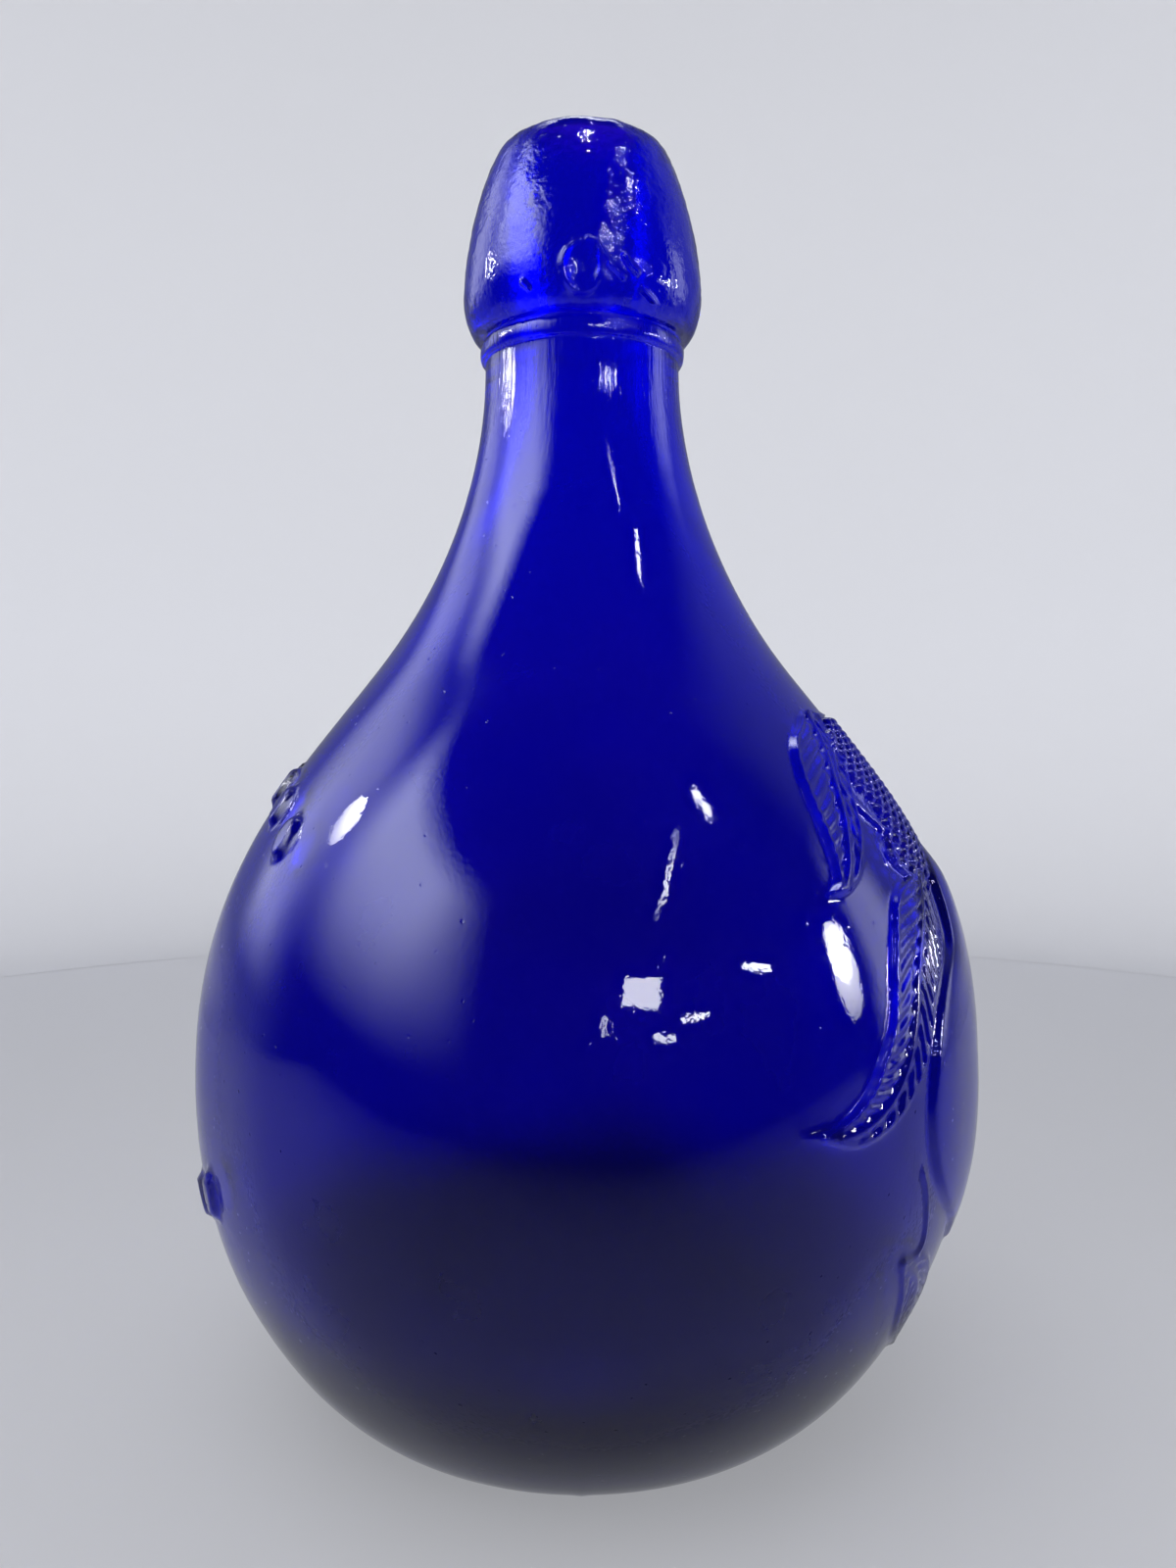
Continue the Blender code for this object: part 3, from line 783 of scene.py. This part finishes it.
def cobaltGlass():
    look = bpy.data.materials.new("cobaltGlass")
    look.use_nodes = True
    tree = look.node_tree
    shader = tree.nodes["Principled BSDF"]
    setInput(shader, "Base Color", (1, 1, 1, 1))
    setInput(shader, "IOR", glassLook["ior"])
    setInput(shader, "Transmission Weight", 1.0)
    soak = tree.nodes.new("ShaderNodeVolumeAbsorption")
    setInput(soak, "Color", glassLook["tint"])
    setInput(soak, "Density", glassLook["density"])
    tree.links.new(soak.outputs["Volume"], tree.nodes["Material Output"].inputs["Volume"])

    place, (_, _, height) = placeOn(tree)
    # Painted shade: darker through the body than through the neck, and darkest at the base
    depth = easedRamp(tree, height, glassLook["paintedShadeHeights"], glassLook["paintedShadeShares"])
    baseShade = easedRamp(tree, height, glassLook["baseShadeHeights"], (glassLook["baseShadeShare"], 1.0))
    tree.links.new(mathNode(tree, "MULTIPLY", depth, baseShade), shader.inputs["Base Color"])

    wear = noise(tree, place, glassLook["wearScale"], 6.0)
    rough = straightRamp(tree, wear, glassLook["wearRange"], glassLook["polish"])
    inside = tree.nodes.new("ShaderNodeAttribute")
    inside.attribute_name = "inside"
    satin = mathNode(tree, "MULTIPLY_ADD", inside.outputs["Fac"], glassLook["satin"], rough)
    tree.links.new(satin, shader.inputs["Roughness"])

    ripple = noise(tree, place, glassLook["rippleScale"], 2.0)
    surface = addBumps(tree, ripple, glassLook["rippleDepth"], strength=glassLook["rippleStrength"])

    hammered = easedRamp(tree, height, glassLook["hammerHeights"])
    hammer = noise(tree, place, glassLook["hammerScale"], 2.0)
    surface = addBumps(tree, hammer, glassLook["hammerDepth"], surface, hammered)

    stretch = tree.nodes.new("ShaderNodeMapping")
    setInput(stretch, "Scale", glassLook["brushScale"])
    tree.links.new(place, stretch.inputs["Vector"])
    brush = noise(tree, stretch.outputs["Vector"], 1.0, 3.0)
    brushed = mathNode(tree, "SUBTRACT", easedRamp(tree, height, glassLook["brushHeights"]), hammered)
    surface = addBumps(tree, brush, glassLook["brushDepth"], surface, brushed)

    pits = tree.nodes.new("ShaderNodeTexVoronoi")
    setInput(pits, "Scale", glassLook["pitScale"])
    tree.links.new(place, pits.inputs["Vector"])
    pit = straightRamp(tree, pits.outputs["Distance"], (0.0, glassLook["pitReach"]))
    surface = addBumps(tree, pit, glassLook["pitDepth"], surface)

    grit = noise(tree, place, glassLook["gritScale"], 1.0)
    surface = addBumps(tree, grit, glassLook["gritDepth"], surface)
    tree.links.new(surface, shader.inputs["Normal"])
    return look


def makeBottle():
    glass = cutFiner(turnBottle())
    mesh = bpy.data.meshes.new("glass_bottle")
    glass.to_mesh(mesh)
    glass.free()
    shapeGlass(mesh)
    mesh.shade_smooth()
    mesh.materials.append(cobaltGlass())
    bottle = bpy.data.objects.new("glass_bottle", mesh)
    bpy.context.scene.collection.objects.link(bottle)
    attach(bottle, "root")
    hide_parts("bottle_body", "lip_collar")
    triangles = sum(len(face.vertices) - 2 for face in mesh.polygons)
    print(f"bottle made, {triangles} triangles")


# A round floor and a wall behind the bottle that rises from it in a cove; both thin out into the pale air
studio = {
    "floorDepth": -0.0002,
    "floorRadius": 1.0,
    "roundSteps": 96,
    "floorFade": (0.45, 0.85),
    "floorShadeInGlass": (-0.04, -0.26),    # along Y: in front of here the floor isn't mirrored in the bottle, a painted shade on the floor as the glass mirrors it
    "mirrorShare": 0.60,              # how much of the rest is mirrored; the rest lets the dim room show, painted shade in the reflections
    "wallRadius": 0.56,
    "wallCove": 0.16,
    "coveSteps": 24,
    "wallLift": 0.0001,               # clear of the floor
    "wallHeight": 0.95,
    "sideFade": (0.14, 0.32),         # along Y, where the wall ends at both sides
    "topFade": (0.90, 0.62),
    "wallMirror": (0.0, 0.10),
    "paint": (0.74, 0.75, 0.79),
}


# Pale matt paint. solid(tree, x, y, z) says where it is, and mirrored(tree, x, y, z) where the glass doesn't
# mirror it. There the paint lets the dim room show in reflections, so the glass mirrors it darker than it is
# seen: painted shade.
def palePaint(name, solid, mirrored):
    paint = bpy.data.materials.new(name)
    paint.use_nodes = True
    tree = paint.node_tree
    shader = tree.nodes["Principled BSDF"]
    setInput(shader, "Base Color", (*studio["paint"], 1))
    setInput(shader, "Roughness", 0.8)
    setInput(shader, "Specular IOR Level", 0.1)
    _, (x, y, z) = placeOn(tree)
    rays = tree.nodes.new("ShaderNodeLightPath")
    share = studio["mirrorShare"]
    lost = mathNode(tree, "MULTIPLY_ADD", mirrored(tree, x, y, z), share, 1 - share)
    # Painted shade: in reflections the paint turns partly see-through to the dim room
    shadedInGlass = mathNode(tree, "MULTIPLY", lost, rays.outputs["Is Glossy Ray"])
    there = mathNode(tree, "MULTIPLY", solid(tree, x, y, z), mathNode(tree, "SUBTRACT", 1.0, shadedInGlass))
    clear = tree.nodes.new("ShaderNodeBsdfTransparent")
    mix = tree.nodes.new("ShaderNodeMixShader")
    tree.links.new(there, mix.inputs[0])
    tree.links.new(clear.outputs["BSDF"], mix.inputs[1])
    tree.links.new(shader.outputs["BSDF"], mix.inputs[2])
    tree.links.new(mix.outputs["Shader"], tree.nodes["Material Output"].inputs["Surface"])
    return paint


def floorSolid(tree, x, y, z):
    squares = mathNode(tree, "ADD", mathNode(tree, "MULTIPLY", x, x), mathNode(tree, "MULTIPLY", y, y))
    faded = easedRamp(tree, mathNode(tree, "SQRT", squares), studio["floorFade"])
    return mathNode(tree, "SUBTRACT", 1.0, faded)


def floorShadeInGlass(tree, x, y, z):
    return easedRamp(tree, y, studio["floorShadeInGlass"])


def wallSolid(tree, x, y, z):
    return mathNode(tree, "MULTIPLY", easedRamp(tree, y, studio["sideFade"]),
                    easedRamp(tree, z, studio["topFade"]))


def wallMirror(tree, x, y, z):
    return easedRamp(tree, z, studio["wallMirror"])


def stagePiece(name, sheet, paint):
    bmesh.ops.recalc_face_normals(sheet, faces=sheet.faces)
    mesh = bpy.data.meshes.new(name)
    sheet.to_mesh(mesh)
    sheet.free()
    mesh.shade_smooth()
    mesh.materials.append(paint)
    piece = bpy.data.objects.new(name, mesh)
    bpy.context.scene.collection.objects.link(piece)


def makeStudio():
    floor = bmesh.new()
    bmesh.ops.create_circle(floor, cap_ends=True, radius=studio["floorRadius"], segments=studio["roundSteps"])
    bmesh.ops.translate(floor, vec=(0, 0, studio["floorDepth"]), verts=floor.verts)
    stagePiece("studio_floor", floor, palePaint("floorPaint", floorSolid, floorShadeInGlass))

    wall = bmesh.new()
    cove = studio["wallCove"]
    low = studio["floorDepth"] + studio["wallLift"]
    path = []
    for index in range(studio["coveSteps"] + 1):
        around = math.pi / 2 * index / studio["coveSteps"]
        radius = studio["wallRadius"] - cove + cove * math.sin(around)
        path.append((radius, low + cove * (1 - math.cos(around))))
    path.append((studio["wallRadius"], studio["wallHeight"]))
    verts = [wall.verts.new((radius, 0, height)) for radius, height in path]
    edges = [wall.edges.new(pair) for pair in zip(verts, verts[1:])]
    bmesh.ops.spin(wall, geom=verts + edges, cent=(0, 0, 0), axis=(0, 0, 1), angle=math.pi,
                   steps=studio["roundSteps"])
    stagePiece("studio_wall", wall, palePaint("wallPaint", wallSolid, wallMirror))
    print("studio made")


# The room: pale where the camera looks or sees through the glass, and in reflections a dim room with soft
# windows. A window's edges are degrees left of the camera and degrees up, soft from first to second and from
# third to fourth. It climbs by the share "rise" of the degrees that it lies left of climbFrom.
room = {
    "pale": (0.60, 0.61, 0.64, 1),
    "fill": (0.10, 0.10, 0.11, 1),
    "dim": (0.024, 0.025, 0.034, 1),
    "behind": (0.20, 0.21, 0.24, 1),
    "caught": (0.45, 0.45, 0.48, 1),     # added where light bounces about inside the glass
    "behindFrom": (-0.05, 0.35),
    "ceiling": (8.0, 8.3, 9.0, 1),       # bright overhead, where only raised edges mirror it
    "ceilingFrom": (58, 80),
    "ceilingBehind": (0.04, 0.22),
    "climbFrom": 70,
    "windows": (
        {"azimuth": (30, 60, 84, 108), "elevation": (4, 41, 43, 53), "rise": 0.22,
         "light": (4.7, 4.9, 5.5, 1)},
        {"azimuth": (94, 112, 124, 142), "elevation": (0, 14, 38, 52), "rise": 0.0,
         "light": (1.6, 1.65, 1.85, 1)},
        {"azimuth": (-118, -104, -96, -88), "elevation": (-8, 6, 22, 36), "rise": 0.0,
         "light": (1.7, 1.75, 1.9, 1)},
    ),
}


# 1 between the two middle edges, and easing out to 0 at the outer ones
def softBand(tree, value, edges):
    low, high = (tuple(math.radians(edge) for edge in ends) for ends in (edges[:2], edges[:1:-1]))
    return mathNode(tree, "MULTIPLY", easedRamp(tree, value, low), easedRamp(tree, value, high))


def mixColours(tree, share, first, second, blend="MIX"):
    mix = tree.nodes.new("ShaderNodeMix")
    mix.data_type = "RGBA"
    mix.blend_type = blend
    tree.links.new(share, mix.inputs["Factor"])
    for name, value in (("A", first), ("B", second)):
        colour = next(s for s in mix.inputs if s.name == name and s.type == "RGBA")
        if isinstance(value, tuple):
            colour.default_value = value
        else:
            tree.links.new(value, colour)
    return next(s for s in mix.outputs if s.type == "RGBA")


def makeRoom():
    world = bpy.data.worlds.new("room")
    bpy.context.scene.world = world
    world.use_nodes = True
    tree = world.node_tree
    tree.nodes.clear()
    way = tree.nodes.new("ShaderNodeTexCoord")
    apart = tree.nodes.new("ShaderNodeSeparateXYZ")
    tree.links.new(way.outputs["Generated"], apart.inputs["Vector"])
    x, y, z = (apart.outputs[axis] for axis in "XYZ")
    left, near = (mathNode(tree, "MULTIPLY", axis, -1.0) for axis in (x, y))
    azimuth = mathNode(tree, "ARCTAN2", left, near)
    elevation = mathNode(tree, "ARCSINE", z)
    mirrored = mixColours(tree, easedRamp(tree, y, room["behindFrom"]), room["dim"], room["behind"])
    for window in room["windows"]:
        further = mathNode(tree, "SUBTRACT", azimuth, math.radians(room["climbFrom"]))
        climb = mathNode(tree, "MULTIPLY", further, window["rise"])
        level = mathNode(tree, "SUBTRACT", elevation, climb)
        share = mathNode(tree, "MULTIPLY", softBand(tree, azimuth, window["azimuth"]),
                         softBand(tree, level, window["elevation"]))
        mirrored = mixColours(tree, share, mirrored, window["light"], "ADD")
    high = easedRamp(tree, elevation, tuple(math.radians(edge) for edge in room["ceilingFrom"]))
    overhead = mathNode(tree, "MULTIPLY", easedRamp(tree, y, room["ceilingBehind"]), high)
    mirrored = mixColours(tree, overhead, mirrored, room["ceiling"])
    rays = tree.nodes.new("ShaderNodeLightPath")
    bounced = mathNode(tree, "GREATER_THAN", rays.outputs["Diffuse Depth"], 0.5)
    through = mathNode(tree, "GREATER_THAN", rays.outputs["Transmission Depth"], 0.5)
    unmirrored = mathNode(tree, "LESS_THAN", rays.outputs["Glossy Depth"], 0.5)
    mirrored = mixColours(tree, through, mirrored, room["caught"], "ADD")
    seen = mixColours(tree, unmirrored, mirrored, room["pale"])
    seen = mixColours(tree, bounced, seen, room["fill"])
    air = tree.nodes.new("ShaderNodeBackground")
    output = tree.nodes.new("ShaderNodeOutputWorld")
    tree.links.new(seen, air.inputs["Color"])
    tree.links.new(air.outputs["Background"], output.inputs["Surface"])
    print("room made")


# Lamps by the direction they shine from, in degrees left of the camera and degrees up, and by how far away
# they are from the place they aim for, which is the middle of the bottle where none is given. The two that
# light the floor and the wall aren't mirrored in the glass, and the small ones are there only to be mirrored.
# One with a spread is a narrow beam, in degrees, and one with a turn is tilted by as many.
lamps = {
    "key": {"from": (0, 10.5), "away": 0.95, "size": (0.11, 0.11), "watts": 12.5, "mirrored": False},
    "top": {"from": (30, 66), "away": 1.10, "size": (0.9, 0.9), "watts": 1.9, "mirrored": False},
    "fruitWindow": {"from": (-82, 17), "away": 0.50, "size": (0.07, 0.11), "watts": 0.0042,
                    "aim": (0.033, -0.047, 0.076), "spread": 16, "shape": "ELLIPSE"},
    "fruitWindowSoft": {"from": (-82, 13), "away": 0.51, "size": (0.08, 0.17), "watts": 0.0075,
                        "aim": (0.033, -0.047, 0.076), "spread": 24, "shape": "ELLIPSE"},
    "frontPane": {"from": (-17, 17), "away": 0.90, "size": (0.15, 0.12), "watts": 0.80, "turn": -8},
    "frontPaneLow": {"from": (-9, 10), "away": 0.90, "size": (0.02, 0.07), "watts": 0.04},
    "sparkHigh": {"from": (-52, 19), "away": 0.90, "size": (0.13, 0.022), "watts": 0.24, "turn": -12},
    "sparkLow": {"from": (-31, 10), "away": 0.90, "size": (0.12, 0.018), "watts": 0.16, "turn": 5},
    "sparkFloor": {"from": (-22, 6), "away": 0.90, "size": (0.09, 0.018), "watts": 0.08, "turn": -6},
    "streak": {"from": (-60, 53), "away": 0.90, "size": (0.03, 0.09), "watts": 0.2},
    "leftSpot": {"from": (103, 36), "away": 0.15, "size": (0.026, 0.034), "watts": 0.00045,
                 "aim": (-0.045, -0.030, 0.094), "spread": 18, "shape": "ELLIPSE"},
    "collarPane": {"from": (-62, 47), "away": 0.40, "size": (0.05, 0.04), "watts": 0.0003,
                   "aim": (0, 0, 0.190), "spread": 6},
    "collarBar": {"from": (-33, 42), "away": 0.40, "size": (0.02, 0.04), "watts": 0.0002,
                  "aim": (0, 0, 0.187), "spread": 6},
    "collarSpark": {"from": (-87, 10), "away": 0.40, "size": (0.05, 0.03), "watts": 0.0005,
                    "aim": (0.0135, -0.0141, 0.1747), "spread": 8},
    "shoulderLine": {"from": (-35, 47.5), "away": 0.50, "size": (0.007, 0.19), "watts": 0.0014,
                     "aim": (0.0105, -0.0525, 0.0884), "spread": 24, "turn": -42},
    "lipSpark": {"from": (-12, 69), "away": 0.40, "size": (0.05, 0.03), "watts": 0.0012,
                 "aim": (0, 0, 0.195), "spread": 6},
    "neckPane": {"from": (-30, 24), "away": 0.40, "size": (0.05, 0.04), "watts": 0.0003,
                 "aim": (0, 0, 0.160), "spread": 6},
    "neckStrip": {"from": (95, 21), "away": 0.40, "size": (0.04, 0.09), "watts": 0.0035,
                  "aim": (0, 0, 0.165), "spread": 14},
}


def makeLamps():
    for name, lamp in lamps.items():
        azimuth, elevation = (math.radians(value) for value in lamp["from"])
        way = Vector((-math.sin(azimuth) * math.cos(elevation), -math.cos(azimuth) * math.cos(elevation),
                      math.sin(elevation)))
        light = bpy.data.lights.new(name, "AREA")
        light.shape = lamp.get("shape", "RECTANGLE")
        light.size, light.size_y = lamp["size"]
        light.energy = lamp["watts"]
        light.spread = math.radians(lamp.get("spread", 180))
        thing = bpy.data.objects.new(name, light)
        thing.location = Vector(lamp.get("aim", (0, 0, body["height"] / 2))) + way * lamp["away"]
        turn = Quaternion((0, 0, 1), math.radians(lamp.get("turn", 0)))
        thing.rotation_euler = (way.to_track_quat("Z", "Y") @ turn).to_euler()
        mirrored = lamp.get("mirrored", True)
        thing.visible_camera = False
        thing.visible_glossy = mirrored
        thing.visible_transmission = mirrored
        thing.visible_diffuse = not mirrored
        bpy.context.scene.collection.objects.link(thing)
    print("lamps made")


# The camera stands close, level with the middle of the bottle
viewpoint = {
    "place": (0.0009, -0.1972, 0.1059),
    "pitchDown": 2.5,
    "lens": 27.0,
    "sensor": 36.0,
    "nearest": 0.01,
}


def makeCamera():
    camera = bpy.data.cameras.new("camera")
    camera.lens = viewpoint["lens"]
    camera.sensor_width = viewpoint["sensor"]
    camera.clip_start = viewpoint["nearest"]
    thing = bpy.data.objects.new("camera", camera)
    thing.location = viewpoint["place"]
    thing.rotation_euler = (math.radians(90 - viewpoint["pitchDown"]), 0, 0)
    bpy.context.scene.collection.objects.link(thing)
    bpy.context.scene.camera = thing


makeCamera()
makeBottle()
makeStudio()
makeRoom()
makeLamps()
bpy.context.scene.view_settings.view_transform = "Standard"
lightPath = bpy.context.scene.cycles      # light runs a long way inside the wall of the glass
lightPath.max_bounces = 24
lightPath.glossy_bounces = 16
lightPath.transmission_bounces = 24
